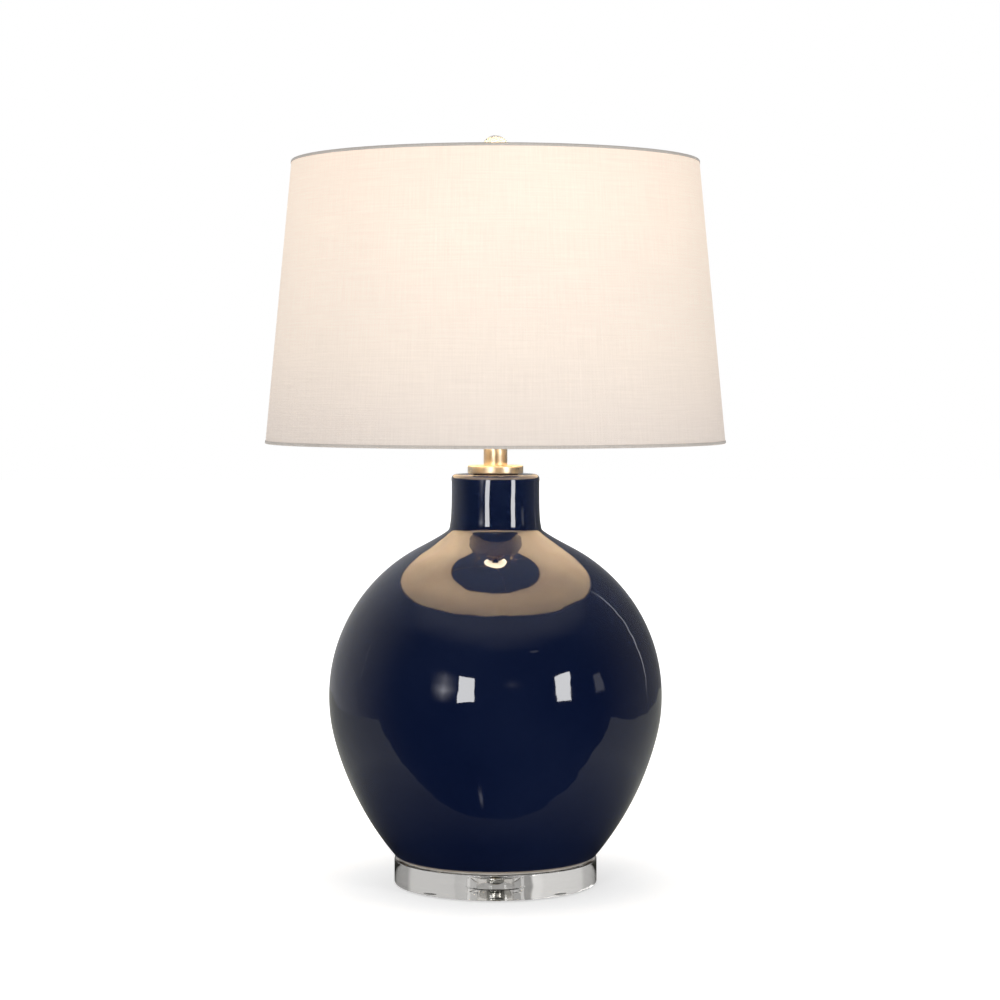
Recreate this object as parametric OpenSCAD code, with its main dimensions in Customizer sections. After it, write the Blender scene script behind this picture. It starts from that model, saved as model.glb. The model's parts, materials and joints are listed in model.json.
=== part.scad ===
// Table lamp: a glazed round vase on a clear disc, with a drum shade carried by a harp.
// Millimetres, +Z up. The origin is on the table, under the middle of the lamp.

/* [Base] */
// Diameter of the clear base disc
base_d = 180; // [170:1:190]
// Thickness of the clear base disc
base_h = 22; // [20:0.5:26]
// Width of the polished bevel on the disc's edges
base_bevel = 0.8; // [0.4:0.1:1.5]
// Diameter of each clear bumper under the disc
bumper_d = 12; // [8:1:14]
// Height of each bumper
bumper_h = 1.5; // [1:0.1:3]
// Number of bumpers
bumpers = 4; // [3:1:6]

/* [Vase] */
// Radius of the round upper wall, which is also the widest half width
belly_r = 147.2; // [140:0.1:150]
// Height of the widest part above the vase's foot
belly_h = 142.9; // [138:0.1:146]
// Radius of the flatter arc of the lower wall
lower_r = 263.8; // [250:0.1:270]
// How far below the widest part the lower arc takes over, in degrees
lower_start = 13.8; // [12:0.1:16]
// Radius of the neck
neck_r = 39.2; // [36:0.1:42]
// Height of the whole vase
vase_h = 339; // [330:0.5:345]
// Hollow blend between shoulder and neck
shoulder_fillet = 24; // [18:0.5:30]
// Rounding of the neck's lip
lip_r = 4; // [2:0.5:5]
// Rounding of the heel
heel_r = 3; // [2:0.5:4]
// Thickness of the ceramic
wall = 6.5; // [5:0.5:8]
// Angle below the horizontal at which the cord outlet leaves the rear wall
outlet_tilt = 32; // [28:0.5:34]
// Radius of the cord outlet's bore
outlet_r = 3.6; // [3:0.1:4]

/* [Stem] */
// Diameter of the brass cap on the neck
cap_d = 49.2; // [44:0.1:56]
// Thickness of the brass cap
cap_h = 7; // [5:0.5:9]
// Diameter of the brass neck tube
tube_d = 21; // [18:0.5:24]
// Height of the brass neck tube
tube_h = 26.5; // [22:0.5:32]
// Outer radius of the threaded pipe
pipe_r = 4.85; // [4.8:0.05:4.9]

/* [Harp] */
// Height from the saddle's underside to the top of the harp's seat
harp_h = 227; // [224:1:236]
// Radius of the harp's wire
wire_r = 1.6; // [1.4:0.1:1.8]
// Half width of the saddle, between its middle and a leg
saddle_w = 32; // [31:0.5:34]
// Half width of the harp at its widest
harp_w = 57; // [54:0.5:60]

/* [Shade] */
// Diameter at the bottom edge
shade_bottom_d = 406.4; // [400:0.1:410]
// Diameter at the top edge
shade_top_d = 358.6; // [350:0.1:365]
// Upright height
shade_h = 247.7; // [240:0.1:255]
// How far the spider's hub sits below the top edge
hub_drop = 13.6; // [12:0.1:16]
// Number of spider arms
arms = 3; // [3:1:4]
// Turn of the first arm, in degrees to the right of straight ahead
arm_turn = 17; // [0:1:60]

/* [Bulb and finial] */
// Largest diameter of the bulb
bulb_d = 60; // [56:1:62]
// Diameter of the crystal ball
ball_d = 24; // [22:0.5:26]

/* [Hidden] */
$fn = 96;
gap = 0.3;    // between parts that move past each other
fit = 0.05;   // radial running clearance of a shaft in its hole
eps = 0.01;
brass = "#c9a56a";
steel = "#b9bcc0";

// Heights, from the table up
disc_z = bumper_h;
disc_top = disc_z + base_h;
gasket_h = 1.5;
foot_z = disc_top + gasket_h;
belly_z = foot_z + belly_h;
lip_z = foot_z + vase_h;
washer_h = 0.8;
cap_z = lip_z + washer_h;
tube_z = cap_z + cap_h;
saddle_z = tube_z + tube_h;
strip = 1.6;
nut_h = 3.2;
socket_z = saddle_z + strip + nut_h;
seat_top = saddle_z + harp_h;
hub_z = seat_top + gap;
shade_top = hub_z + hub_drop;
shade_z = shade_top - shade_h;

// Base and its fastening
recess_r = 17;
recess_h = 9;
recess_top = disc_z + recess_h;
plain_washer_h = 1.6;
spring_washer_h = 1.4;
pipe_z = disc_z + 1.8;
pipe_bore = 3.1;
pipe_top = socket_z + 8;
nut_af = 14.3;
bumper_ring = base_d / 2 - bumper_d - 4;

// Vase outline: the lower arc is tangent to the belly, lower_start below the widest part
lower_x = -(lower_r - belly_r) * cos(lower_start);
lower_z = belly_z + (lower_r - belly_r) * sin(lower_start);
tangent_z = belly_z - belly_r * sin(lower_start);
fillet_x = neck_r + shoulder_fillet;
fillet_z = belly_z + sqrt(pow(belly_r + shoulder_fillet, 2) - pow(fillet_x, 2));
heel_rise = lower_z - foot_z - heel_r;
heel_a = asin(heel_rise / (lower_r - heel_r));
foot_r = lower_x + sqrt(pow(lower_r - heel_r, 2) - pow(heel_rise, 2));
outlet_y = lower_x + lower_r * cos(outlet_tilt);
outlet_z = lower_z - lower_r * sin(outlet_tilt);

// Socket and bulb
shell_r = 16.3;
shell_h = 38;
shell_z = socket_z + 18.5;
shell_top = shell_z + shell_h;
core_r = 12.5;
core_h = 20;
core_z = socket_z + 21;
core_top = core_z + core_h;
switch_z = core_z + 10;
switch_r = 1.85;
thread_r = 13.0;
bulb_z = core_top + 1.2;
bulb_h = 110;
bulb_base_z = bulb_z + 5;
bulb_base_h = 22;
glass_z = bulb_base_z + bulb_base_h;
bulb_r = bulb_d / 2;
globe_z = bulb_z + bulb_h - bulb_r;

// Harp
arm_h = 8.1;
peg_h = 10;
peg_z = saddle_z + strip + arm_h;
leg_z = peg_z + peg_h + gap;
ferrule_h = 22;
ferrule_r = 3.4;
leg_h = 28;
bend_r = 45;
bend_a = 25;
bend_x = bend_r * (1 - cos(bend_a));
slope_w = harp_w - saddle_w - 2 * bend_x;
slope_h = slope_w / tan(bend_a);
bend_z = leg_z + leg_h;
bend_end = bend_z + 2 * bend_r * sin(bend_a) + slope_h;
crown_r = 50;
seat_r = 6.5;
seat_h = 3;
crown_z = seat_top - seat_h - wire_r;
post_r = 3.15;
post_h = 11.4;

// Shade, in layers counted inwards from its outer face
trim_t = 0.5;
cloth_t = 0.5;
liner_t = 0.6;
ring_r = 1.2;
trim_h = 3.2;
ring_in = trim_t + cloth_t + liner_t + ring_r + fit;
trim_in = ring_in + ring_r + fit;
hub_r = 12;
hub_h = 1.6;
spoke_r = 1.3;

// Finial
finial_z = hub_z + hub_h + gap;
finial_h = 11;
finial_bore_h = 9.8;
insert_r = 4.15;
ball_z = finial_z + finial_h + ball_d / 2 - 0.5;

function shade_r(z) =
    (shade_bottom_d + (shade_top_d - shade_bottom_d) * (z - shade_z) / shade_h) / 2;

module tube(r_out, r_in, h) {
    difference() {
        cylinder(r = r_out, h = h);
        translate([0, 0, -1]) cylinder(r = r_in, h = h + 2);
    }
}

module hex_nut(h, bore_r) {
    difference() {
        cylinder(r = nut_af / sqrt(3), h = h, $fn = 6);
        translate([0, 0, -1]) cylinder(r = bore_r, h = h + 2);
    }
}

// A disc with both edges bevelled
module bevelled(r, h, bevel) {
    rotate_extrude()
        polygon([[0, 0], [r - bevel, 0], [r, bevel], [r, h - bevel], [r - bevel, h], [0, h]]);
}

module torus(ring, wire) {
    rotate_extrude() translate([ring, 0]) circle(r = wire);
}

// Base

module base_disc() {
    color("#d8d4cc", 0.4) difference() {
        translate([0, 0, disc_z]) bevelled(base_d / 2, base_h, base_bevel);
        translate([0, 0, disc_z - 1]) cylinder(r = recess_r, h = recess_h + 1);
        cylinder(r = pipe_r + gap, h = disc_top + 1);
    }
}

module base_bumpers() {
    color("#e8e8e6", 0.6)
        for (i = [0 : bumpers - 1]) rotate(45 + i * 360 / bumpers)
            translate([bumper_ring, 0, 0]) cylinder(r = bumper_d / 2, h = bumper_h);
}

module foot_gasket() {
    color("#dcdcd8") translate([0, 0, disc_top]) tube(foot_r - 1, foot_r - 8, gasket_h);
}

module base_washer() {
    color(steel) translate([0, 0, recess_top - plain_washer_h])
        tube(14, pipe_r + fit, plain_washer_h);
}

// A split ring, so that it bites under the nut
module base_lock_washer() {
    color(steel) translate([0, 0, recess_top - plain_washer_h - spring_washer_h]) difference() {
        tube(8.2, pipe_r + fit, spring_washer_h);
        rotate(40) translate([0, -0.6, -1]) cube([10, 1.2, spring_washer_h + 2]);
    }
}

module base_nut() {
    color(steel) translate([0, 0, recess_top - plain_washer_h - spring_washer_h - nut_h])
        hex_nut(nut_h, pipe_r + fit);
}

module threaded_pipe() {
    color("#c8b070") translate([0, 0, pipe_z]) tube(pipe_r, pipe_bore, pipe_top - pipe_z);
}

// Vase

// Half outline of the belly between foot and shoulder, drawn inset by t
module belly_outline(t) {
    low = foot_z + t;
    intersection() {
        translate([0, belly_z]) circle(r = belly_r - t);
        translate([0, tangent_z]) square([belly_r, belly_r * 2]);
    }
    intersection() {
        translate([lower_x, lower_z]) circle(r = lower_r - t);
        translate([0, low]) square([belly_r, tangent_z - low]);
    }
}

// The belly with its heel rounded, tangent to the lower arc and to the foot
module heel_outline() {
    reach = 3 * heel_r;
    difference() {
        belly_outline(0);
        translate([foot_r, foot_z + heel_r]) difference() {
            polygon([[0, 0], [reach * cos(heel_a), -reach * sin(heel_a)], [0, -reach]]);
            circle(r = heel_r);
        }
    }
}

module neck_outline() {
    neck_low = fillet_z - shoulder_fillet;
    translate([0, neck_low]) square([neck_r, lip_z - lip_r - neck_low]);
    translate([0, neck_low]) square([neck_r - lip_r, lip_z - neck_low]);
    translate([neck_r - lip_r, lip_z - lip_r]) circle(r = lip_r);
    // the hollow blend, between the neck, the belly and the blend's circle
    difference() {
        polygon([[0, belly_z], [fillet_x, fillet_z], [0, fillet_z]]);
        translate([fillet_x, fillet_z]) circle(r = shoulder_fillet);
    }
}

module vase_outline() {
    difference() {
        union() {
            heel_outline();
            neck_outline();
        }
        // inside of the belly, then of the neck
        belly_outline(wall);
        translate([0, belly_z]) square([neck_r - wall, lip_z - wall - 2 - belly_z]);
        // underside, hollowed within the foot ring
        translate([0, foot_z - 1]) square([foot_r - 9, 3]);
    }
}

module outlet_place() {
    translate([0, outlet_y, outlet_z]) rotate([-(90 + outlet_tilt), 0, 0]) children();
}

module vase() {
    color("#1b2350") difference() {
        rotate_extrude() vase_outline();
        cylinder(r = pipe_r + 1, h = lip_z + 1);
        outlet_place() translate([0, 0, -3 * wall]) cylinder(r = outlet_r + 2, h = 6 * wall);
    }
}

module cord_bushing() {
    flange_h = 1.8;
    lip_gap = 0.5;
    lip_h = 1.2;
    color("#2a2a2e") outlet_place() difference() {
        union() {
            cylinder(r = outlet_r + 4.6, h = flange_h);
            translate([0, 0, -wall - lip_gap]) cylinder(r = outlet_r + 1.95, h = wall + lip_gap);
            translate([0, 0, -wall - lip_gap - lip_h]) cylinder(r = outlet_r + 2.8, h = lip_h);
        }
        translate([0, 0, -2 * wall]) cylinder(r = outlet_r, h = 4 * wall);
    }
}

// Stem

module neck_washer() {
    color("#202022") translate([0, 0, lip_z]) tube(20, pipe_r + gap, washer_h);
}

module neck_cap() {
    color(brass) difference() {
        translate([0, 0, cap_z]) bevelled(cap_d / 2, cap_h, 0.6);
        translate([0, 0, cap_z - 1]) cylinder(r = pipe_r + gap, h = cap_h + 2);
    }
}

module neck_tube() {
    color(brass) translate([0, 0, tube_z]) tube(tube_d / 2, tube_d / 2 - 1.4, tube_h);
}

// U-shaped strip with a peg on each arm
module harp_saddle() {
    inside_r = 3;
    color(brass) difference() {
        union() {
            translate([0, 6, saddle_z]) rotate([90, 0, 0]) linear_extrude(12) difference() {
                union() {
                    translate([-saddle_w - strip / 2, inside_r + strip])
                        square([2 * saddle_w + strip, arm_h - inside_r]);
                    translate([inside_r + strip / 2 - saddle_w, 0])
                        square([2 * saddle_w - strip - 2 * inside_r, inside_r + strip + eps]);
                    for (side = [-1, 1])
                        translate([side * (saddle_w - strip / 2 - inside_r), inside_r + strip])
                            circle(r = inside_r + strip);
                }
                translate([strip / 2 - saddle_w, inside_r + strip])
                    square([2 * saddle_w - strip, 2 * arm_h]);
                translate([strip / 2 - saddle_w + inside_r, strip])
                    square([2 * saddle_w - strip - 2 * inside_r, 2 * arm_h]);
                for (side = [-1, 1])
                    translate([side * (saddle_w - strip / 2 - inside_r), inside_r + strip])
                        circle(r = inside_r);
            }
            for (side = [-1, 1])
                translate([side * saddle_w, 0, peg_z - 2]) cylinder(r = wire_r, h = peg_h + 2);
        }
        translate([0, 0, saddle_z - 1]) cylinder(r = pipe_r + fit, h = strip + 2);
    }
}

module saddle_nut() {
    color(brass) translate([0, 0, saddle_z + strip]) hex_nut(nut_h, pipe_r + fit);
}

// Socket

module socket_cap() {
    t = 0.9;
    cup_r = shell_r + fit + t;
    color(brass) translate([0, 0, socket_z]) difference() {
        rotate_extrude() polygon([
            [pipe_r + fit, 0], [7.2, 0], [7.2, 5], [10, 6.2], [cup_r - 2.5, 9.5], [cup_r - 0.6, 12],
            [cup_r, 15], [cup_r, 21], [cup_r - t, 21], [cup_r - t, 15.4], [cup_r - 1.6, 12.9],
            [cup_r - 3.2, 10.5], [9, 7.4], [pipe_r + fit, 7]
        ]);
        translate([0, 0, 2.6]) rotate([90, 0, 0]) cylinder(r = 1.5, h = 20);
    }
}

module cap_set_screw() {
    color(steel) translate([0, -pipe_r - 2 * fit, socket_z + 2.6]) rotate([90, 0, 0]) difference() {
        cylinder(r = 1.45, h = 4.4);
        translate([-2, -0.25, 3.7]) cube([4, 0.5, 1]);
    }
}

module switch_hole(r) {
    translate([0, 0, switch_z]) rotate([90, 0, 0]) cylinder(r = r, h = 40);
}

module socket_shell() {
    bead_z = shell_top - 2;
    color(brass) difference() {
        union() {
            translate([0, 0, shell_z]) tube(shell_r, shell_r - 0.5, shell_h);
            translate([0, 0, bead_z]) torus(shell_r, 0.45);
            translate([0, 0, bead_z - 4]) torus(shell_r, 0.45);
        }
        translate([0, 0, bead_z - 6]) cylinder(r = shell_r - 0.5, h = 9);
        switch_hole(2.8);
    }
}

module shell_liner() {
    color("#a88a5e") difference() {
        translate([0, 0, shell_z + 1]) tube(shell_r - 0.6, shell_r - 1.1, shell_h - 2);
        switch_hole(2.8);
    }
}

module socket_core() {
    color("#1c1a1a") difference() {
        union() {
            translate([0, 0, core_z]) cylinder(r = core_r, h = core_h - 3);
            translate([0, 0, core_top - 3]) cylinder(r = thread_r + 1.6, h = 3);
        }
        // pocket for the middle contact, and the switch's bearing
        translate([0, 0, core_top - 2]) cylinder(r = 4, h = 3);
        switch_hole(switch_r + fit);
        for (side = [-1, 1])
            translate([side * (core_r - 4), 0, core_z + 5]) rotate([0, side * 90, 0])
                cylinder(r = 1.5, h = 6);
    }
}

module terminal_screws() {
    color(steel) for (side = [-1, 1])
        translate([side * core_r, 0, core_z + 5]) rotate([0, side * 90, 0]) difference() {
            union() {
                translate([0, 0, -3.9]) cylinder(r = 1.45, h = 4);
                cylinder(r = 3, h = 1.9);
            }
            translate([-3, -0.35, 1.2]) cube([6, 0.7, 1]);
        }
}

module screw_shell() {
    color(brass) translate([0, 0, core_top]) difference() {
        cylinder(r = thread_r + 0.7, h = 16);
        translate([0, 0, 0.5]) cylinder(r = thread_r + 0.35, h = 16);
        translate([0, 0, -1]) cylinder(r = 6, h = 3);
    }
}

module centre_contact() {
    color(brass) translate([0, 0, core_top - 2]) {
        cylinder(r = 3.4, h = 0.6);
        cylinder(r = 1.8, h = 2.9);
    }
}

module switch_shaft() {
    color(brass) translate([0, -4, switch_z]) rotate([90, 0, 0]) cylinder(r = switch_r, h = 22);
}

// Round key with a grip cut into its rim
module switch_knob() {
    grooves = 12;
    knob_r = 6;
    knob_h = 10;
    color("#1c1a1a") translate([0, -19, switch_z]) rotate([90, 0, 0]) difference() {
        union() {
            cylinder(r = 3.4, h = 3);
            translate([0, 0, 3]) bevelled(knob_r, knob_h, 0.7);
        }
        translate([0, 0, -1]) cylinder(r = switch_r, h = 8);
        for (i = [0 : grooves - 1]) rotate(i * 360 / grooves)
            translate([knob_r + 0.5, 0, 3.8]) cylinder(r = 1, h = knob_h);
    }
}

// Bulb

module bulb_contact() {
    color(steel) translate([0, 0, bulb_z]) cylinder(r = 4.4, h = 1.2);
}

module bulb_insulator() {
    color("#15151a") translate([0, 0, bulb_z + 1.2]) cylinder(r1 = 5.4, r2 = 9.4, h = 3.7);
}

module bulb_base() {
    threads = 5;
    pitch = 3.6;
    color(steel) translate([0, 0, bulb_base_z]) difference() {
        union() {
            cylinder(r1 = 9.6, r2 = thread_r - 0.9, h = 1.5);
            translate([0, 0, 1.5]) cylinder(r = thread_r - 0.9, h = bulb_base_h - 1.5);
            for (i = [0 : threads - 1]) translate([0, 0, 3 + i * pitch]) torus(thread_r - 0.9, 0.9);
        }
        translate([0, 0, 1]) cylinder(r = thread_r - 2, h = bulb_base_h);
    }
}

// The glass is a ball blended into its neck by a hollow arc
module bulb_outline(t) {
    glass_neck = thread_r - 0.9;
    hollow_r = 50;
    hollow_x = glass_neck + hollow_r;
    hollow_z = globe_z - sqrt(pow(bulb_r + hollow_r, 2) - pow(hollow_x, 2));
    translate([0, globe_z]) intersection() {
        circle(r = bulb_r - t);
        translate([0, -bulb_r]) square([bulb_r, 2 * bulb_r]);
    }
    difference() {
        polygon([[0, hollow_z], [hollow_x, hollow_z], [0, globe_z]]);
        translate([hollow_x, hollow_z]) circle(r = hollow_r + t);
    }
    translate([0, glass_z]) square([glass_neck - t, hollow_z - glass_z + eps]);
}

module bulb_glass() {
    color("#fff4dc") rotate_extrude() difference() {
        bulb_outline(0);
        bulb_outline(1);
    }
}

// Harp

// The harp's wire, swept along its route in the plane y = 0. A stop on the route is
// [x, z, heading], and the heading is the angle from +Z towards +X.
bend_steps = 5;
crown_steps = 12;
harp_side = concat(
    [[saddle_w, leg_z, 0]],
    [for (i = [0 : bend_steps]) let (t = bend_a * i / bend_steps)
        [saddle_w + bend_r * (1 - cos(t)), bend_z + bend_r * sin(t), t]],
    [for (i = [bend_steps : -1 : 0]) let (t = bend_a * i / bend_steps)
        [harp_w - bend_r * (1 - cos(t)), bend_end - bend_r * sin(t), t]],
    [for (i = [0 : crown_steps]) let (t = 90 * i / crown_steps)
        [harp_w - crown_r * (1 - cos(t)), crown_z - crown_r * (1 - sin(t)), -t]]
);
harp_route = concat(
    harp_side,
    [for (i = [len(harp_side) - 1 : -1 : 0]) let (p = harp_side[i]) [-p[0], p[1], 180 - p[2]]]
);

module harp_wire() {
    sides = 12;
    rings = len(harp_route);
    points = [for (p = harp_route) for (k = [0 : sides - 1]) let (t = 360 * k / sides)
        [p[0] + wire_r * cos(t) * cos(p[2]), wire_r * sin(t), p[1] - wire_r * cos(t) * sin(p[2])]];
    walls = [for (i = [0 : rings - 2]) for (k = [0 : sides - 1]) let (n = (k + 1) % sides)
        [i * sides + k, (i + 1) * sides + k, (i + 1) * sides + n, i * sides + n]];
    ends = [
        [for (k = [0 : sides - 1]) k],
        [for (k = [sides - 1 : -1 : 0]) (rings - 1) * sides + k]
    ];
    color(brass) polyhedron(points = points, faces = concat(walls, ends));
}

module harp_seat() {
    color(brass) translate([0, 0, seat_top - seat_h]) {
        bevelled(seat_r, seat_h, 0.4);
        translate([0, 0, seat_h - eps]) cylinder(r = post_r, h = post_h);
    }
}

module ferrule(side) {
    color(brass) translate([side * saddle_w, 0, peg_z + gap])
        tube(ferrule_r, wire_r + 0.15, ferrule_h);
}

module ferrule_left() { ferrule(-1); }

module ferrule_right() { ferrule(1); }

// Shade

// A cone-shaped layer between two depths below the shade's outer face
module layer(depth_out, depth_in, z_low, z_high) {
    rotate_extrude() polygon([
        [shade_r(z_low) - depth_out, z_low], [shade_r(z_high) - depth_out, z_high],
        [shade_r(z_high) - depth_in, z_high], [shade_r(z_low) - depth_in, z_low]
    ]);
}

top_ring_z = shade_top - trim_t - ring_r - fit;
bottom_ring_z = shade_z + trim_t + ring_r + fit;

module spokes(r) {
    run = shade_r(top_ring_z) - ring_in;
    inner = hub_r - 4;
    rise = top_ring_z - (hub_z + hub_h / 2);
    for (i = [0 : arms - 1]) rotate(arm_turn - 90 + i * 360 / arms)
        translate([inner, 0, hub_z + hub_h / 2])
            rotate([0, 90 - atan(rise / (run - inner)), 0])
                cylinder(r = r, h = norm([run - inner, rise]));
}

module spider() {
    color(brass) difference() {
        union() {
            translate([0, 0, hub_z]) cylinder(r = hub_r, h = hub_h);
            spokes(spoke_r);
        }
        translate([0, 0, hub_z - 5]) cylinder(r = post_r + fit, h = 10);
        translate([0, 0, hub_z - 5]) cylinder(r = hub_r + 20, h = 5);
        translate([0, 0, top_ring_z]) torus(shade_r(top_ring_z) - ring_in, ring_r);
    }
}

module top_ring() {
    color(brass) translate([0, 0, top_ring_z]) torus(shade_r(top_ring_z) - ring_in, ring_r);
}

module bottom_ring() {
    color(brass) translate([0, 0, bottom_ring_z])
        torus(shade_r(bottom_ring_z) - ring_in, ring_r);
}

module shade_liner() {
    color("#f4f1ea")
        layer(trim_t + cloth_t, trim_t + cloth_t + liner_t, shade_z + trim_t, shade_top - trim_t);
}

module shade_fabric() {
    color("#f3ece0") layer(trim_t, trim_t + cloth_t, shade_z + trim_t, shade_top - trim_t);
}

// Hem rolled over the edge: outer band, edge, inner band
module top_trim() {
    color("#cfc6ba") difference() {
        union() {
            layer(0, trim_t, shade_top - trim_h, shade_top - trim_t);
            layer(0, trim_in + trim_t, shade_top - trim_t, shade_top);
            layer(trim_in, trim_in + trim_t, shade_top - trim_h, shade_top - trim_t);
        }
        spokes(spoke_r + gap);
    }
}

module bottom_trim() {
    color("#cfc6ba") {
        layer(0, trim_t, shade_z + trim_t, shade_z + trim_h);
        layer(0, trim_in + trim_t, shade_z, shade_z + trim_t);
        layer(trim_in, trim_in + trim_t, shade_z + trim_t, shade_z + trim_h);
    }
}

// Finial

module finial_insert() {
    color(steel) translate([0, 0, finial_z]) tube(insert_r, post_r + fit, finial_bore_h - gap);
}

module finial_base() {
    color(brass) translate([0, 0, finial_z]) difference() {
        rotate_extrude() polygon([
            [0, 0], [6.6, 0], [7, 0.4], [7, 2], [5.8, 3], [5.4, 5], [5.6, 7.5], [6.6, 9.6],
            [6.8, 10.4], [6.4, 11], [0, 11]
        ]);
        translate([0, 0, -1]) cylinder(r = insert_r + fit, h = finial_bore_h + 1);
    }
}

module finial_ball() {
    color("#eef2f4", 0.5) difference() {
        translate([0, 0, ball_z]) sphere(r = ball_d / 2);
        translate([0, 0, finial_z]) cylinder(r = ball_d, h = finial_h);
    }
}

base_disc();
base_bumpers();
foot_gasket();
base_washer();
base_lock_washer();
base_nut();
threaded_pipe();
vase();
cord_bushing();
neck_washer();
neck_cap();
neck_tube();
harp_saddle();
saddle_nut();
socket_cap();
cap_set_screw();
socket_shell();
shell_liner();
socket_core();
terminal_screws();
screw_shell();
centre_contact();
switch_shaft();
switch_knob();
bulb_contact();
bulb_insulator();
bulb_base();
bulb_glass();
harp_wire();
harp_seat();
ferrule_left();
ferrule_right();
spider();
top_ring();
bottom_ring();
shade_liner();
shade_fabric();
top_trim();
bottom_trim();
finial_insert();
finial_base();
finial_ball();
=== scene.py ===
"""Looks of the table lamp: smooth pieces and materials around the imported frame.

Outlines are lists of (radius, height) in millimetres about the lamp's axis. Meshes are in metres.
"""

import json
import math

import bmesh
import bpy
from mathutils import Matrix, Vector, noise

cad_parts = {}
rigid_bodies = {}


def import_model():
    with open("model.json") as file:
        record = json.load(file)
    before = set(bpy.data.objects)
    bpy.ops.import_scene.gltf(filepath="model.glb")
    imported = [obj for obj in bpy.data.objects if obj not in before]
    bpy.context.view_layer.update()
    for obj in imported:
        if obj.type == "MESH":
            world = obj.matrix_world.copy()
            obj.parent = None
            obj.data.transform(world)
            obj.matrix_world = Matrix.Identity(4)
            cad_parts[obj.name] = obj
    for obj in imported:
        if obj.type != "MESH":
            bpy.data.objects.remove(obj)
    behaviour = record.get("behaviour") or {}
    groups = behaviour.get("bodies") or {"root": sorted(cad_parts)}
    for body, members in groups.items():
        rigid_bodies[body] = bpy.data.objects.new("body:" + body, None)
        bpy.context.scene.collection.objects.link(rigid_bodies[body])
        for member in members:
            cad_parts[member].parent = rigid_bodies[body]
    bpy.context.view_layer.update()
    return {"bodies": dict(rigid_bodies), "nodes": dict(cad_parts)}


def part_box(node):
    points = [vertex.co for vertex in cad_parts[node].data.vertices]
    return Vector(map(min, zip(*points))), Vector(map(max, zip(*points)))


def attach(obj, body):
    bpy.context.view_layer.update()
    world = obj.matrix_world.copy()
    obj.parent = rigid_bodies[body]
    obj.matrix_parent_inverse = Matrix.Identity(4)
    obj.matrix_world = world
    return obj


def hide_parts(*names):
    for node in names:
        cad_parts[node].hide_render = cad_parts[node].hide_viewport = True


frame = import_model()

MM = 0.001
FULL = 2 * math.pi


# Places, taken from the frame

def place(node):
    """Radius, bottom and top of a CAD node that is round about the lamp's axis, in millimetres."""
    low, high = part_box(node)
    return high.x / MM, low.z / MM, high.z / MM


# Outlines

def arc(x, z, r, start, end, steps):
    """Points along a circle's arc, from the start angle to the end angle in degrees."""
    turns = [math.radians(start + (end - start) * i / steps) for i in range(steps + 1)]
    return [(x + r * math.cos(t), z + r * math.sin(t)) for t in turns]


def rounded(corners, radius, steps=4):
    """A closed outline whose corners are rounded, by less where two corners are close."""
    points = []
    for i, corner in enumerate(corners):
        p = Vector(corner)
        before = Vector(corners[i - 1]) - p
        after = Vector(corners[(i + 1) % len(corners)]) - p
        cut = min(radius, before.length * 0.45, after.length * 0.45)
        a = p + before.normalized() * cut
        b = p + after.normalized() * cut
        if p.x < 1e-6:
            points.append((p.x, p.y))
            continue
        for k in range(steps + 1):
            t = k / steps
            q = a * (1 - t) ** 2 + p * (2 * t * (1 - t)) + b * t ** 2
            points.append((q.x, q.y))
    return points


# Meshes

SMOOTH = 35   # edges sharper than this many degrees are shaded as edges


def finish_mesh(name, bm, smooth=SMOOTH):
    """Makes a piece of a bmesh, smooth except along edges sharper than smooth, in degrees."""
    bmesh.ops.remove_doubles(bm, verts=bm.verts, dist=1e-7)
    bmesh.ops.recalc_face_normals(bm, faces=bm.faces)
    mesh = bpy.data.meshes.new(name)
    bm.to_mesh(mesh)
    bm.free()
    mesh.shade_smooth()
    mesh.set_sharp_from_angle(angle=math.radians(smooth))
    piece = bpy.data.objects.new(name, mesh)
    bpy.context.scene.collection.objects.link(piece)
    return piece


def skin(bm, rows, closed):
    """Faces between rings of vertices. A ring of one vertex is a point on the axis.

    closed joins the last ring to the first.
    """
    pairs = list(zip(rows, rows[1:]))
    if closed:
        pairs.append((rows[-1], rows[0]))
    for a, b in pairs:
        size = max(len(a), len(b))
        for k in range(size):
            n = (k + 1) % size
            corners = [a[k % len(a)], a[n % len(a)], b[n % len(b)], b[k % len(b)]]
            corners = [v for i, v in enumerate(corners) if v not in corners[:i]]
            if len(corners) > 2:
                bm.faces.new(corners)


def turn(bm, outline, segments, radius=None, centre=(0, 0)):
    """Adds an outline turned about an axis. radius(r, z, angle) may change each point."""
    open_ends = outline[0][0] < 1e-6 and outline[-1][0] < 1e-6
    rows = []
    for r, z in outline:
        if r < 1e-6:
            rows.append([bm.verts.new((centre[0] * MM, centre[1] * MM, z * MM))])
            continue
        row = []
        for k in range(segments):
            angle = FULL * k / segments
            out = radius(r, z, angle) if radius else r
            x = centre[0] + out * math.cos(angle)
            y = centre[1] + out * math.sin(angle)
            row.append(bm.verts.new((x * MM, y * MM, z * MM)))
        rows.append(row)
    skin(bm, rows, not open_ends)


def lathe(name, outline, segments=96, radius=None, smooth=SMOOTH):
    """A piece turned about the lamp's axis."""
    bm = bmesh.new()
    turn(bm, outline, segments, radius)
    return finish_mesh(name, bm, smooth)


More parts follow.
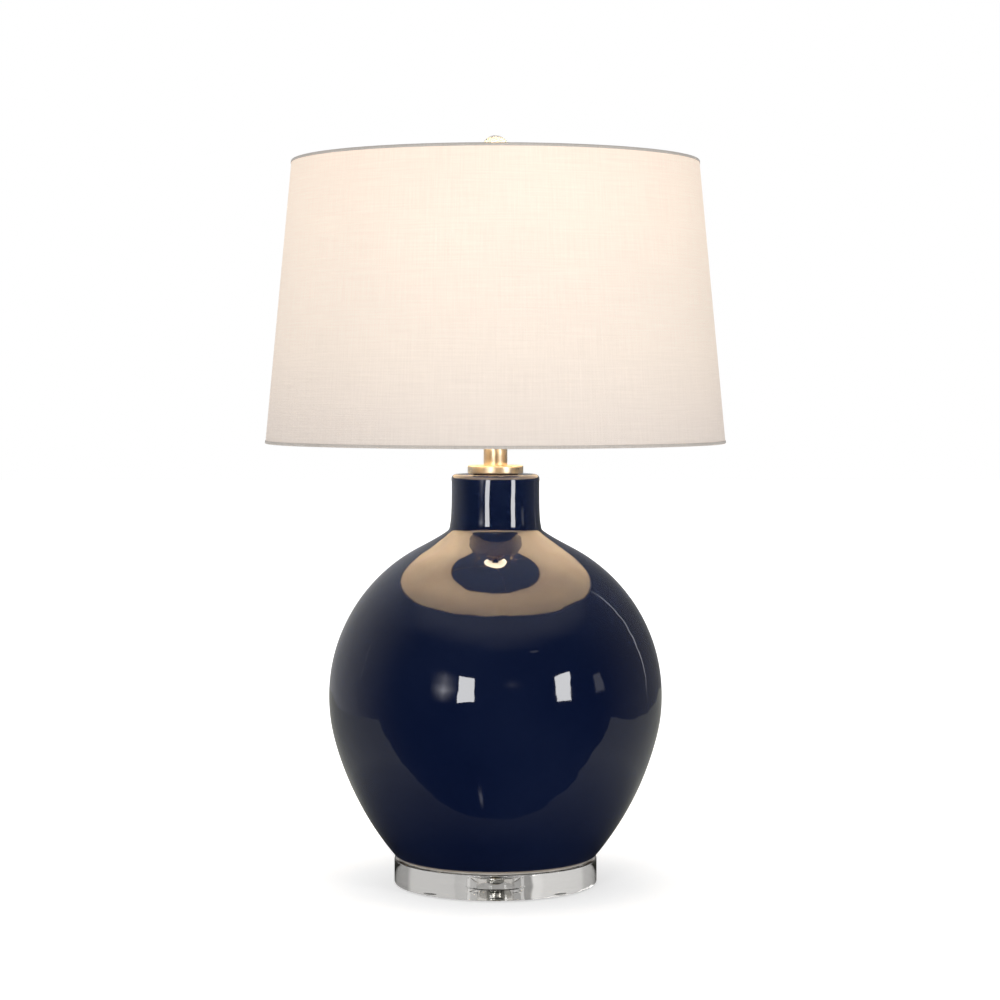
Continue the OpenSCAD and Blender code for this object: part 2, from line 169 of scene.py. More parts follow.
def sweep(bm, route, r, sides, closed=False):
    """Adds a round wire along a route of points in metres."""
    count = len(route)
    rows = []
    side = None
    for i, p in enumerate(route):
        back = route[i - 1] if closed or i > 0 else p
        ahead = route[(i + 1) % count] if closed or i < count - 1 else p
        along = (ahead - back).normalized()
        if side is None:
            side = along.orthogonal().normalized()
        side = (side - along * side.dot(along)).normalized()
        up = along.cross(side)
        row = []
        for k in range(sides):
            angle = FULL * k / sides
            row.append(bm.verts.new(p + (side * math.cos(angle) + up * math.sin(angle)) * r))
        rows.append(row)
    skin(bm, rows, closed)
    if not closed:
        bm.faces.new(rows[0])
        bm.faces.new(rows[-1])


def cut(piece, cutter):
    """Cuts one mesh out of another, deletes the cutter and shades the result."""
    change = piece.modifiers.new("cut", "BOOLEAN")
    change.operation = "DIFFERENCE"
    change.object = cutter
    change.solver = "EXACT"
    bpy.context.view_layer.update()
    evaluated = piece.evaluated_get(bpy.context.evaluated_depsgraph_get())
    mesh = bpy.data.meshes.new_from_object(evaluated)
    piece.modifiers.clear()
    piece.data = mesh
    bpy.data.objects.remove(cutter)
    mesh.shade_smooth()
    mesh.set_sharp_from_angle(angle=math.radians(SMOOTH))


def rod(name, r, start, end):
    """A plain round rod between two points in metres, used as a cutter."""
    bm = bmesh.new()
    sweep(bm, [start, end], r, 32)
    return finish_mesh(name, bm)


def thread(root, depth, pitch, low, high, steps):
    """Rows of an outer screw thread, and the function that gives each point its radius.

    steps is the number of rows in one turn of the thread.
    """
    count = int((high - low) / pitch * steps)
    rows = [(root, low + (high - low) * i / count) for i in range(count + 1)]

    def radius(r, z, angle):
        if abs(r - root) > 1e-6:
            return r
        ends = min(1, (z - low) / pitch, (high - z) / pitch)
        phase = (z - low) / pitch - angle / FULL
        return r + depth * max(0, ends) * (0.5 + 0.5 * math.cos(FULL * phase))

    return rows, radius


# Materials

def add_node(tree, kind, inputs=(), **settings):
    """Adds a shader node. Each input is a value or the socket that feeds it."""
    made = tree.nodes.new("ShaderNode" + kind)
    for key, value in settings.items():
        setattr(made, key, value)
    for key, value in dict(inputs).items():
        if isinstance(value, bpy.types.NodeSocket):
            tree.links.new(value, made.inputs[key])
        else:
            made.inputs[key].default_value = value
    return made


class Finish:
    """A Principled material with short calls for the nodes that vary it."""

    def __init__(self, name, colour, rough, **sockets):
        self.material = bpy.data.materials.new(name)
        self.material.use_nodes = True
        self.tree = self.material.node_tree
        self.shader = self.tree.nodes["Principled BSDF"]
        self.shader.inputs["Base Color"].default_value = (*colour, 1)
        self.shader.inputs["Roughness"].default_value = rough
        for socket, value in sockets.items():
            self.shader.inputs[socket.replace("_", " ")].default_value = value

    def node(self, kind, inputs=(), **settings):
        return add_node(self.tree, kind, inputs, **settings)

    def noise(self, scale, detail=3, stretch=(1, 1, 1), rough=0.5, space="Object"):
        coords = self.node("TexCoord").outputs[space]
        spread = self.node("Mapping", {"Vector": coords, "Scale": stretch}).outputs[0]
        values = {"Vector": spread, "Scale": scale, "Detail": detail, "Roughness": rough}
        return self.node("TexNoise", values).outputs["Fac"]

    def spots(self, scale):
        coords = self.node("TexCoord").outputs["Object"]
        return self.node("TexVoronoi", {"Vector": coords, "Scale": scale}).outputs["Distance"]

    def height(self):
        coords = self.node("TexCoord").outputs["Object"]
        return self.node("SeparateXYZ", {"Vector": coords}).outputs["Z"]

    def ramp(self, value, from_low, from_high, to_low, to_high):
        values = {0: value, 1: from_low, 2: from_high, 3: to_low, 4: to_high}
        return self.node("MapRange", values).outputs[0]

    def math(self, operation, a, b=0.0):
        return self.node("Math", {0: a, 1: b}, operation=operation).outputs[0]

    def mix(self, share, a, b, blend="MIX"):
        a = a if isinstance(a, bpy.types.NodeSocket) else (*a, 1)
        b = b if isinstance(b, bpy.types.NodeSocket) else (*b, 1)
        values = {0: share, 6: a, 7: b}
        return self.node("Mix", values, data_type="RGBA", blend_type=blend).outputs[2]

    def bump(self, height, distance, below=None):
        values = {"Height": height, "Distance": distance, "Strength": 1.0}
        if below:
            values["Normal"] = below
        return self.node("Bump", values).outputs["Normal"]

    def drive(self, socket, value):
        self.tree.links.new(value, self.shader.inputs[socket])


def dress(piece, finish):
    """Gives a piece or a carried-over CAD node one material."""
    piece.data.materials.clear()
    piece.data.materials.append(finish.material)


def metal(name, colour, dark, rough, brushed=(1, 1, 1)):
    """Plated or polished metal: brushing, patches of tarnish and faint scratches."""
    f = Finish(name, colour, rough, Metallic=1.0)
    patches = f.noise(60, 4)
    grain = f.noise(900, 3, brushed)
    tint = f.ramp(patches, 0.45, 0.75, 0.0, 0.55)
    f.drive("Base Color", f.mix(tint, colour, dark))
    worn = f.ramp(patches, 0.3, 0.7, rough - 0.06, rough + 0.06)
    f.drive("Roughness", f.math("ADD", worn, f.ramp(grain, 0, 1, -0.03, 0.03)))
    f.drive("Normal", f.bump(grain, 0.00002, f.bump(f.noise(45, 2), 0.0002)))
    return f


def moulded(name, colour, rough):
    """Moulded plastic or rubber with a fine matt grain and slight rubbing."""
    f = Finish(name, colour, rough)
    patches = f.noise(80, 3)
    rubbed = [c * 1.6 + 0.01 for c in colour]
    f.drive("Base Color", f.mix(f.ramp(patches, 0.4, 0.8, 0, 0.35), colour, rubbed))
    f.drive("Roughness", f.ramp(patches, 0.3, 0.7, rough - 0.06, rough + 0.08))
    f.drive("Normal", f.bump(f.noise(1400, 3), 0.00004))
    return f


def glaze():
    """Navy pottery glaze: pooled colour, a hand-thrown ripple, and a bare ring under the foot."""
    navy = (0.0022, 0.0056, 0.0255)
    thin = (0.0042, 0.0085, 0.0310)
    speck = (0.001, 0.002, 0.009)
    clay = (0.42, 0.34, 0.27)
    f = Finish("navy_glaze", navy, 0.03, IOR=1.62)
    pool = f.ramp(f.noise(9, 4), 0.4, 0.7, 0, 1)
    specks = f.ramp(f.spots(420), 0.0, 0.09, 0.5, 0.0)
    colour = f.mix(specks, f.mix(pool, navy, thin), speck)
    foot = place("vase")[1] * MM
    bare = f.ramp(f.height(), foot + 0.0010, foot + 0.0016, 1, 0)
    f.drive("Base Color", f.mix(bare, colour, clay))
    polish = f.ramp(f.noise(30, 3), 0.3, 0.7, 0.02, 0.055)
    f.drive("Roughness", f.math("MAXIMUM", polish, f.math("MULTIPLY", bare, 0.85)))
    ripple = f.bump(f.noise(13, 2, (1, 1, 1.8)), 0.0011)
    f.drive("Normal", f.bump(f.noise(85, 2), 0.00004, ripple))
    return f


def acrylic():
    """Cast acrylic with polished faces and a few hairline scuffs."""
    f = Finish("clear_acrylic", (0.90, 0.885, 0.86), 0.01, IOR=1.49, Transmission_Weight=1.0)
    scuffs = f.noise(160, 5, (1, 1, 0.2))
    f.drive("Roughness", f.ramp(scuffs, 0.55, 0.8, 0.008, 0.09))
    f.drive("Normal", f.bump(f.noise(30, 2), 0.00012))
    return f


def crystal():
    """Clear lead crystal."""
    f = Finish("crystal", (0.97, 0.98, 1.0), 0.0, IOR=1.55, Transmission_Weight=1.0)
    f.drive("Roughness", f.ramp(f.noise(200, 3), 0.5, 0.9, 0.0, 0.04))
    f.drive("Normal", f.bump(f.noise(90, 2), 0.00005))
    return f


WARP = 0.00085   # spacing of the linen's upright threads, in metres
WEFT = 0.00095   # spacing of its level threads

# painted glow that stands in for the bulb's light through the linen, by height from its bottom edge,
# 0, to its top edge, 1
PAINTED_SHADE_GLOW = {
    0: (0.185, 0.146, 0.124), 0.07: (0.225, 0.173, 0.146), 0.15: (0.272, 0.212, 0.173),
    0.33: (0.352, 0.274, 0.212), 0.5: (0.392, 0.304, 0.232), 0.75: (0.456, 0.350, 0.262),
    1: (0.470, 0.352, 0.258),
}


def weave(f):
    """Height of a plain weave, from 0 to 1, and thickness of its slubs, about 1."""
    coords = f.node("TexCoord").outputs["UV"]
    across = f.node("SeparateXYZ", {"Vector": coords}).outputs
    sway = f.math("MULTIPLY", f.noise(60, 2, space="UV"), 0.0008)
    u = f.math("MULTIPLY", f.math("ADD", across["X"], sway), FULL / WARP)
    v = f.math("MULTIPLY", f.math("ADD", across["Y"], sway), FULL / WEFT)
    crossing = f.math("MULTIPLY", f.math("SINE", u), f.math("SINE", v))
    threads = f.ramp(crossing, -1, 1, 0, 1)
    level = f.noise(1, 3, (22, 700, 1), 0.6, "UV")
    upright = f.noise(1, 3, (760, 26, 1), 0.6, "UV")
    slubs = f.math("ADD", level, upright)
    return threads, slubs


def linen():
    """Oatmeal linen with a painted glow for the bulb's light from behind: brighter and creamier
    towards the top, darker along slubs in its colour and as painted shade in the glow.
    """
    f = Finish("shade_linen", (0.8, 0.76, 0.7), 0.92, Sheen_Weight=0.12, Sheen_Roughness=0.5)
    threads, slubs = weave(f)
    low, high = (value * MM for value in place("shade_fabric")[1:])
    bright = (0.655, 0.612, 0.565)
    dark = (0.615, 0.570, 0.523)
    shade = f.ramp(slubs, 0.7, 1.3, 0, 1)
    f.drive("Base Color", f.mix(shade, bright, dark))
    # painted glow: emission by height that stands in for the bulb's light coming through the linen
    rise = f.ramp(f.height(), low, high, 0, 1)
    glow = f.node("ValToRGB", {"Fac": rise})
    stops = glow.color_ramp.elements
    stops[0].color = (*PAINTED_SHADE_GLOW[0], 1)
    stops[1].color = (*PAINTED_SHADE_GLOW[1], 1)
    for at in sorted(PAINTED_SHADE_GLOW)[1:-1]:
        stops.new(at).color = (*PAINTED_SHADE_GLOW[at], 1)
    # painted shade: the painted glow is darker along thick slubs and uneven in patches
    shadow = f.ramp(slubs, 0.7, 1.3, 1.035, 0.955)
    patch = f.ramp(f.noise(11, 2), 0.3, 0.7, 0.97, 1.03)
    uneven = f.math("MULTIPLY", shadow, patch)
    strength = f.math("MULTIPLY", uneven, f.ramp(threads, 0, 1, 0.98, 1.02))
    lit = f.node("VectorMath", {0: glow.outputs["Color"]}, operation="SCALE")
    f.tree.links.new(strength, lit.inputs["Scale"])
    f.drive("Emission Color", lit.outputs[0])
    f.shader.inputs["Emission Strength"].default_value = 1.0
    fine = f.bump(threads, 0.00012)
    f.drive("Normal", f.bump(slubs, 0.00022, fine))
    return f


def hem_cloth():
    """The same linen folded several layers thick, so no light comes through; its colour is painted
    darker than the linen's, as painted shade along the folded edge.
    """
    f = Finish("shade_hem", (0.52, 0.475, 0.43), 0.9, Sheen_Weight=0.15, Sheen_Roughness=0.5)
    threads, slubs = weave(f)
    # painted shade: a darker copy of the linen's colour
    bright = (0.60, 0.56, 0.52)
    dark = (0.50, 0.46, 0.42)
    f.drive("Base Color", f.mix(f.ramp(slubs, 0.7, 1.3, 0, 1), bright, dark))
    f.drive("Normal", f.bump(slubs, 0.0002, f.bump(threads, 0.0001)))
    return f


def lining():
    """White styrene lining, tinted warm as painted light of the lamp, slightly mottled."""
    # painted light: a warm tint for the lamp's light on the white styrene
    f = Finish("shade_liner", (0.82, 0.76, 0.66), 0.55)
    bright = (0.84, 0.78, 0.69)
    dark = (0.78, 0.71, 0.60)
    f.drive("Base Color", f.mix(f.ramp(f.noise(25, 3), 0.3, 0.7, 0, 1), bright, dark))
    f.drive("Roughness", f.ramp(f.noise(70, 3), 0.3, 0.7, 0.45, 0.65))
    f.drive("Normal", f.bump(f.noise(500, 2), 0.00002))
    return f


def frosted_bulb():
    """Lit frosted glass, dimmer towards its neck."""
    f = Finish("bulb_glass", (0.9, 0.87, 0.8), 0.35, Emission_Strength=16.0)
    neck, top = (value * MM for value in place("bulb_glass")[1:])
    rise = f.ramp(f.height(), neck, (neck + top) / 2, 0.15, 1)
    cloud = f.ramp(f.noise(60, 3), 0.3, 0.7, 0.92, 1.06)
    glow = f.node("VectorMath", {0: (1.0, 0.82, 0.58)}, operation="SCALE")
    f.tree.links.new(f.math("MULTIPLY", rise, cloud), glow.inputs["Scale"])
    f.drive("Emission Color", glow.outputs[0])
    f.drive("Roughness", f.ramp(f.noise(300, 2), 0.3, 0.7, 0.3, 0.45))
    f.drive("Normal", f.bump(f.noise(900, 2), 0.00001))
    return f


def fibre():
    """Fibre card that insulates the socket shell."""
    f = Finish("liner_card", (0.33, 0.22, 0.12), 0.8)
    dark = (0.26, 0.17, 0.09)
    bright = (0.40, 0.28, 0.16)
    f.drive("Base Color", f.mix(f.noise(120, 5, (1, 1, 0.2)), dark, bright))
    f.drive("Normal", f.bump(f.noise(700, 3, (1, 1, 0.3)), 0.00005))
    return f


# finish of each slot
FINISHES = {
    "clear_acrylic": acrylic(),
    "clear_bumper": moulded("clear_bumper", (0.62, 0.61, 0.58), 0.35),
    "gasket": moulded("gasket", (0.66, 0.63, 0.58), 0.55),
    "zinc_steel": metal("zinc_steel", (0.62, 0.62, 0.60), (0.40, 0.39, 0.36), 0.30),
    "pipe_steel": metal("pipe_steel", (0.66, 0.56, 0.36), (0.42, 0.33, 0.19), 0.30),
    "navy_glaze": glaze(),
    "black_plastic": moulded("black_plastic", (0.018, 0.017, 0.018), 0.38),
    "black_rubber": moulded("black_rubber", (0.015, 0.015, 0.016), 0.65),
    "satin_brass": metal("satin_brass", (0.90, 0.77, 0.58), (0.74, 0.59, 0.40), 0.32, (1, 1, 0.04)),
    "harp_brass": metal("harp_brass", (0.78, 0.60, 0.36), (0.58, 0.40, 0.20), 0.22),
    "socket_brass": metal("socket_brass", (0.80, 0.60, 0.33), (0.60, 0.40, 0.18), 0.24, (1, 1, 0.1)),
    "liner_card": fibre(),
    "bulb_metal": metal("bulb_metal", (0.74, 0.73, 0.70), (0.50, 0.48, 0.45), 0.26),
    "black_glass": moulded("black_glass", (0.012, 0.012, 0.016), 0.15),
    "bulb_glass": frosted_bulb(),
    "spider_brass": metal("spider_brass", (0.76, 0.60, 0.38), (0.56, 0.40, 0.22), 0.26),
    "shade_liner": lining(),
    "shade_linen": linen(),
    "shade_hem": hem_cloth(),
    "crystal": crystal(),
}

# slot of each CAD node that keeps its own shape
KEPT = {
    "foot_gasket": "gasket", "base_washer": "zinc_steel", "base_lock_washer": "zinc_steel",
    "neck_washer": "black_rubber", "harp_saddle": "harp_brass", "cap_set_screw": "zinc_steel",
    "shell_liner": "liner_card", "socket_core": "black_plastic", "terminal_screws": "zinc_steel",
    "screw_shell": "socket_brass", "centre_contact": "socket_brass", "switch_shaft": "socket_brass",
    "bulb_insulator": "black_glass", "finial_insert": "zinc_steel",
}


def fit_out(piece, body, slot, *nodes):
    """Dresses a piece, ties it to its CAD body, and lets it stand for its CAD nodes."""
    dress(piece, FINISHES[slot])
    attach(piece, body)
    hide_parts(*nodes)
    return piece


# Base

def base_disc():
    r, low, high = place("base_disc")
    recess_r, recess_h, bore, edge = 17, 9, 5.15, 1.1
    outline = rounded([
        (recess_r, low), (r, low), (r, high), (bore, high), (bore, low + recess_h),
        (recess_r, low + recess_h)
    ], edge, 6)
    return fit_out(lathe("acrylic_base", outline, 192), "stand", "clear_acrylic", "base_disc")


def bumpers():
    """Four soft domes stuck under the disc."""
    r = 6.0
    reach, low, high = place("base_bumpers")
    at = reach - r
    dome = [(x, high - (high - z) * (high - low) / r) for x, z in arc(0, high, r, -80, -10, 8)]
    outline = [(0, low)] + dome + [(r, high), (0, high)]
    bm = bmesh.new()
    for x in (-at, at):
        for y in (-at, at):
            turn(bm, outline, 40, centre=(x, y))
    return fit_out(finish_mesh("bumpers", bm), "stand", "clear_bumper", "base_bumpers")


def hex_nut(name, node, body, slot):
    """Hexagon nut whose corners are turned off top and bottom, with a tapped hole."""
    box_low, box_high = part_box(node)
    low, high = box_low.z / MM, box_high.z / MM
    flat = (box_high.y - box_low.y) / MM / 2
    corner = flat / math.cos(math.radians(30))
    bore, slope, edge = 4.95, 0.8, 0.4

    def radius(r, z, angle):
        if r <= bore + edge:
            return r
        turn_in = (angle % math.radians(60)) - math.radians(30)
        return min(r, flat / math.cos(turn_in))

    outline = [
        (bore, low + 0.3), (bore + edge, low), (flat - 0.2, low), (corner, low + slope),
        (corner, high - slope), (flat - 0.2, high), (bore + edge, high), (bore, high - 0.3)
    ]
    return fit_out(lathe(name, outline, 72, radius, 25), body, slot, node)


def pipe():
    low, high = place("threaded_pipe")[1:]
    root, depth, pitch, bore = 4.45, 0.38, 1.0, 3.1
    rows, radius = thread(root, depth, pitch, low, high, 6)
    outline = rows + [(bore, high), (bore, low)]
    piece = lathe("threaded_pipe_cut", outline, 40, radius, 60)
    return fit_out(piece, "stand", "pipe_steel", "threaded_pipe")


# Vase

OUTLET_TILT = 32   # degrees that the cord outlet points below level
WALL = 6.5         # thickness of the vase, in millimetres


def vase_arcs():
    """The circles of the vase's belly, lower side and heel, and the angles where they meet."""
    r, foot, lip = place("vase")
    glaze_t = 0.5   # the glaze stands this far outside the CAD vase
    r += glaze_t
    belly_z = foot + 142.9
    lower_r, start, heel_r = 263.8, 13.8, 3
    lower_x = -(lower_r - r) * math.cos(math.radians(start))
    lower_z = belly_z + (lower_r - r) * math.sin(math.radians(start))
    heel_rise = lower_z - foot - heel_r
    heel_a = math.degrees(math.asin(heel_rise / (lower_r - heel_r)))
    foot_r = lower_x + math.sqrt((lower_r - heel_r) ** 2 - heel_rise ** 2)
    return {
        "foot": foot, "lip": lip, "r": r, "belly_z": belly_z, "start": start,
        "lower_r": lower_r, "lower_x": lower_x, "lower_z": lower_z,
        "heel_r": heel_r, "heel_a": heel_a, "foot_r": foot_r,
    }


def hollow(start, start_slope, end, end_slope, steps):
    """A smooth bend between two (radius, height) points with those slopes of radius over height."""
    gap = start[0] - end[0] + end_slope * end[1] - start_slope * start[1]
    z = gap / (end_slope - start_slope)
    corner = Vector((end[0] + end_slope * (z - end[1]), z))
    points = []
    for i in range(steps + 1):
        t = i / steps
        p = Vector(start) * (1 - t) ** 2 + corner * (2 * t * (1 - t)) + Vector(end) * t ** 2
        points.append((p.x, p.y))
    return points


def vase():
    a = vase_arcs()
    foot, lip = a["foot"], a["lip"]
    neck_r, lip_r, neck_foot_z, flare, fade, shoulder_a = 38.9, 4, 315.7, 2.1, 8.4, 62.3
    hole, foot_ring, recess, top_wall = 5.85, 9, 2, WALL + 2
    outside = arc(a["foot_r"], foot + a["heel_r"], a["heel_r"], -90, -a["heel_a"], 6)
    outside += arc(a["lower_x"], a["lower_z"], a["lower_r"], -a["heel_a"], -a["start"], 36)[1:]
    outside += arc(0, a["belly_z"], a["r"], -a["start"], shoulder_a, 64)[1:]
    shoulder_slope = -math.tan(math.radians(shoulder_a))
    neck_foot = (neck_r + flare, neck_foot_z)
    outside += hollow(outside[-1], shoulder_slope, neck_foot, -flare / fade, 18)[1:]
    for i in range(1, 24):
        rise = (lip - lip_r - neck_foot_z) * i / 24
        outside.append((neck_r + flare * math.exp(-rise / fade), neck_foot_z + rise))
    outside += arc(neck_r - lip_r, lip - lip_r, lip_r, 0, 90, 10)
    inner_floor = foot + WALL
    inner_lower = a["lower_r"] - WALL
    floor_a = math.degrees(math.asin((a["lower_z"] - inner_floor) / inner_lower))
    inner_neck = neck_r - WALL
    neck_a = math.degrees(math.acos(inner_neck / (a["r"] - WALL)))
    inside = [(hole, lip), (hole, lip - top_wall), (inner_neck, lip - top_wall)]
    inside += arc(0, a["belly_z"], a["r"] - WALL, neck_a, -a["start"], 24)
    inside += arc(a["lower_x"], a["lower_z"], inner_lower, -a["start"], -floor_a, 12)[1:]
    inside += [(hole, inner_floor), (hole, foot + recess)]
    inside += [(a["foot_r"] - foot_ring, foot + recess), (a["foot_r"] - foot_ring, foot)]
    ripple, ripple_low, ripple_high = 0.22, foot + 6, lip - 5

    def radius(r, z, angle):
        if r < neck_r - lip_r or z < ripple_low or z > ripple_high:
            return r
        p = Vector((math.cos(angle), math.sin(angle), z / 70)) * 1.3
        share = min(1, (z - ripple_low) / 20, (ripple_high - z) / 10)
        return r + ripple * share * noise.noise(p)

    piece = lathe("glazed_vase", outside + inside, 224, radius)
    centre, normal = outlet()
    bore = 5.6 * MM
    reach = 3 * WALL * MM
    cut(piece, rod("outlet_cutter", bore, centre - normal * reach, centre + normal * reach))
    return fit_out(piece, "stand", "navy_glaze", "vase")


def outlet():
    """Middle of the cord outlet on the vase's outer face, and the way out, in metres."""
    a = vase_arcs()
    tilt = math.radians(OUTLET_TILT)
    y = a["lower_x"] + a["lower_r"] * math.cos(tilt)
    z = a["lower_z"] - a["lower_r"] * math.sin(tilt)
    return Vector((0, y, z)) * MM, Vector((0, math.cos(tilt), -math.sin(tilt)))


def bushing():
    """Flanged rubber bushing, rounded where a cord would bend over it."""
    r, flange_r, flange_h, neck, lip_h = 3.6, 8.2, 1.8, 5.55, 1.2
    inside = -WALL - 0.5
    outline = rounded([
        (r, flange_h), (r, inside - lip_h), (r + 2.8, inside - lip_h), (r + 2.8, inside),
        (neck, inside), (neck, 0), (flange_r, 0), (flange_r - 0.4, flange_h)
    ], 0.8, 5)
    piece = lathe("outlet_bushing", outline, 64)
    centre, normal = outlet()
    place_at = Matrix.Translation(centre) @ normal.to_track_quat("Z", "Y").to_matrix().to_4x4()
    piece.data.transform(place_at)
    return fit_out(piece, "stand", "black_rubber", "cord_bushing")


# Stem

def neck_cap():
    r, low, high = place("neck_cap")
    bore = 5.15
    outline = rounded([(bore, low), (r, low), (r, high), (bore, high)], 1.3, 6)
    return fit_out(lathe("brass_cap", outline, 128), "stand", "satin_brass", "neck_cap")


def neck_tube():
    r, low, high = place("neck_tube")
    bore = r - 1.4
    outline = rounded([(bore, low), (r, low), (r, high), (bore, high)], 0.4, 3)
    return fit_out(lathe("brass_tube", outline, 96), "stand", "satin_brass", "neck_tube")


# Socket

def socket_cap():
    """Drawn cup with a hub below it."""
    r, low, high = place("socket_cap")
    t, hub, bore, bend, edge = 0.9, 7.2, 4.95, 7, 0.3
    brim = low + 15   # where the bowl has become a straight wall
    bowl = arc(r - bend, brim, bend, -62, 0, 10)
    inner = arc(r - bend, brim, bend - t, 0, -62, 10)
    outline = [(bore, low + edge), (bore + edge, low), (hub - edge, low), (hub, low + edge)]
    outline += [(hub, low + 5.2), (hub + 0.5, low + 6.2), (hub + 1.4, low + 6.7)] + bowl
    outline += [(r, high - edge), (r - edge, high), (r - t, high)] + inner
    outline += [(hub + 1.4, low + 7.7), (bore, low + 7.2)]
    return fit_out(lathe("socket_cup", outline, 96), "stand", "socket_brass", "socket_cap")


def socket_shell():
    """Pressed shell with two rolled beads, a curled lip and the hole for the switch."""
    outer, low, high = place("socket_shell")
    r, t = 16.3, 0.5
    bead = outer - r
    bead_z = high - 2
    outline = [(r, low)]
    for z in (bead_z - 4, bead_z):
        outline += arc(r - 0.15, z, bead + 0.15, -75, 75, 8)
    outline += [(r, high - 0.15), (r - t / 2, high), (r - t, high - 0.15), (r - t, low)]
    piece = lathe("socket_shell_pressed", outline, 96)
    low_s, high_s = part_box("switch_shaft")
    z = (low_s.z + high_s.z) / 2
    hole = 2.8 * MM
    start, end = Vector((0, -0.010, z)), Vector((0, -0.030, z))
    cut(piece, rod("switch_cutter", hole, start, end))
    return fit_out(piece, "stand", "socket_brass", "socket_shell")


def switch_knob():
    """Fluted turn key, on an axis that points to the front."""
    low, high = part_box("switch_knob")
    r = (high.x - low.x) / MM / 2
    length = (high.y - low.y) / MM
    collar = 3.4
    flutes, flute_depth = 12, 0.85

    def radius(x, z, angle):
        if x < collar + 0.2 or z < collar:
            return x
        groove = max(0.0, math.cos(angle * flutes)) ** 2
        return x - flute_depth * groove * min(1, (z - collar) / 1.2)

    outline = rounded([(0, 0), (collar, 0), (collar, 3), (r, 3), (r, length), (0, length)], 0.8, 4)
    piece = lathe("turn_key", outline, 192, radius, 50)
    middle = Vector((0, high.y, (low.z + high.z) / 2))
    piece.data.transform(Matrix.Translation(middle) @ Matrix.Rotation(math.radians(90), 4, "X"))
    return fit_out(piece, "switch_key", "black_plastic", "switch_knob")


# Bulb

def bulb_base():
    outer, low, high = place("bulb_base")
    tip, depth, pitch = 9.6, 0.9, 3.6
    root = outer - depth
    bore = root - 1.1
    rows, radius = thread(root, depth, pitch, low + 1.5, high - 3, 12)
    outline = [(tip, low)] + rows + [(root, high - 2.6), (root - 0.1, high)]
    outline += [(bore, high), (bore, low + 1)]
    return fit_out(lathe("bulb_screw", outline, 96, radius, 60), "bulb", "bulb_metal", "bulb_base")


def bulb_contact():
    r, low, high = place("bulb_contact")
    crown = 8.6
    outline = [(0, low)] + arc(0, low + crown, crown, -89, -65, 5)
    outline += [(r, low + 0.9), (r, high), (0, high)]
    piece = lathe("contact_button", outline, 48)
    return fit_out(piece, "bulb_thread", "bulb_metal", "bulb_contact")


def bulb_glass():
    """Globe blended into its neck by a hollow arc."""
    r, low, high = place("bulb_glass")
    neck, hollow_r, wall = 12.1, 50, 1
    globe_z = high - r
    hollow_x = neck + hollow_r
    rise = math.sqrt((r + hollow_r) ** 2 - hollow_x ** 2)
    meet = math.degrees(math.atan2(rise, hollow_x))
    globe = arc(0, globe_z, r, -meet, 90, 40)
    globe[-1] = (0, high)
    waist = arc(hollow_x, globe_z - rise, hollow_r, 180, 180 - meet, 14)
    outside = [(neck, low)] + waist + globe[1:]
    inner = []
    for x, z in reversed(outside):
        inner.append((max(0, x * (1 - wall / r)), z - wall * (z - low) / (high - low)))
    inner[0] = (0, high - wall)
    piece = lathe("frosted_globe", outside + inner[:-1] + [(neck - wall, low)])
    piece.visible_shadow = False
    return fit_out(piece, "bulb", "bulb_glass", "bulb_glass")


# Harp

def harp():
    """Bent wire: two legs, two slopes and a round crown."""
    low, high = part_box("harp_wire")
    half, crown, leg = high.x / MM, high.z / MM, low.z / MM
    wire, leg_x, leg_h, bend_r, bend_a, crown_r = 1.6, 32, 28, 45, 25, 50
    wide = half - wire
    top = crown - wire
    bend_x = bend_r * (1 - math.cos(math.radians(bend_a)))
    slope_h = (wide - leg_x - 2 * bend_x) / math.tan(math.radians(bend_a))
    bend_z = leg + leg_h
    bend_end = bend_z + 2 * bend_r * math.sin(math.radians(bend_a)) + slope_h
    side = [(leg_x, leg + leg_h * i / 4) for i in range(4)]
    side += arc(leg_x + bend_r, bend_z, bend_r, 180, 180 - bend_a, 10)
    side += arc(wide - bend_r, bend_end, bend_r, -bend_a, 0, 10)
    side += arc(wide - crown_r, top - crown_r, crown_r, 0, 90, 24)
    loop = side + [(-x, z) for x, z in reversed(side)]
    bm = bmesh.new()
    sweep(bm, [Vector((x, 0, z)) * MM for x, z in loop], wire * MM, 24)
    return fit_out(finish_mesh("harp_loop", bm), "harp", "harp_brass", "harp_wire")


def harp_seat():
    """Flat seat with the threaded post that the finial screws onto."""
    r, low, high = place("harp_seat")
    seat_h = 3
    root, depth, pitch = 2.75, 0.38, 25.4 / 27
    rows, radius = thread(root, depth, pitch, low + seat_h + 0.8, high - 0.5, 6)
    seat = [(0, low), (r, low), (r, low + seat_h), (root, low + seat_h)]
    outline = [(0, low)] + rounded(seat, 0.5)[1:-1] + rows + [(root - 0.5, high), (0, high)]
    return fit_out(lathe("harp_top", outline, 64, radius, 50), "harp", "harp_brass", "harp_seat")


def ferrule(name, node, body):
    """Sliding sleeve, slightly waisted, with rolled ends."""
    low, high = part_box(node)
    r = (high.x - low.x) / MM / 2
    z0, z1 = low.z / MM, high.z / MM
    bore = 1.75
    outside = [(r, z0 + 0.4), (r - 0.15, z0 + 2.2), (r - 0.4, z0 + 3.4)]
    outside += [(r - 0.4, z1 - 3.4), (r - 0.15, z1 - 2.2), (r, z1 - 0.4)]
    outline = rounded([(bore, z0), (r - 0.2, z0)] + outside + [(r - 0.2, z1), (bore, z1)], 0.5, 4)
    bm = bmesh.new()
    turn(bm, outline, 48, centre=((low.x + high.x) / MM / 2, 0))
    return fit_out(finish_mesh(name, bm), body, "harp_brass", node)


# Shade

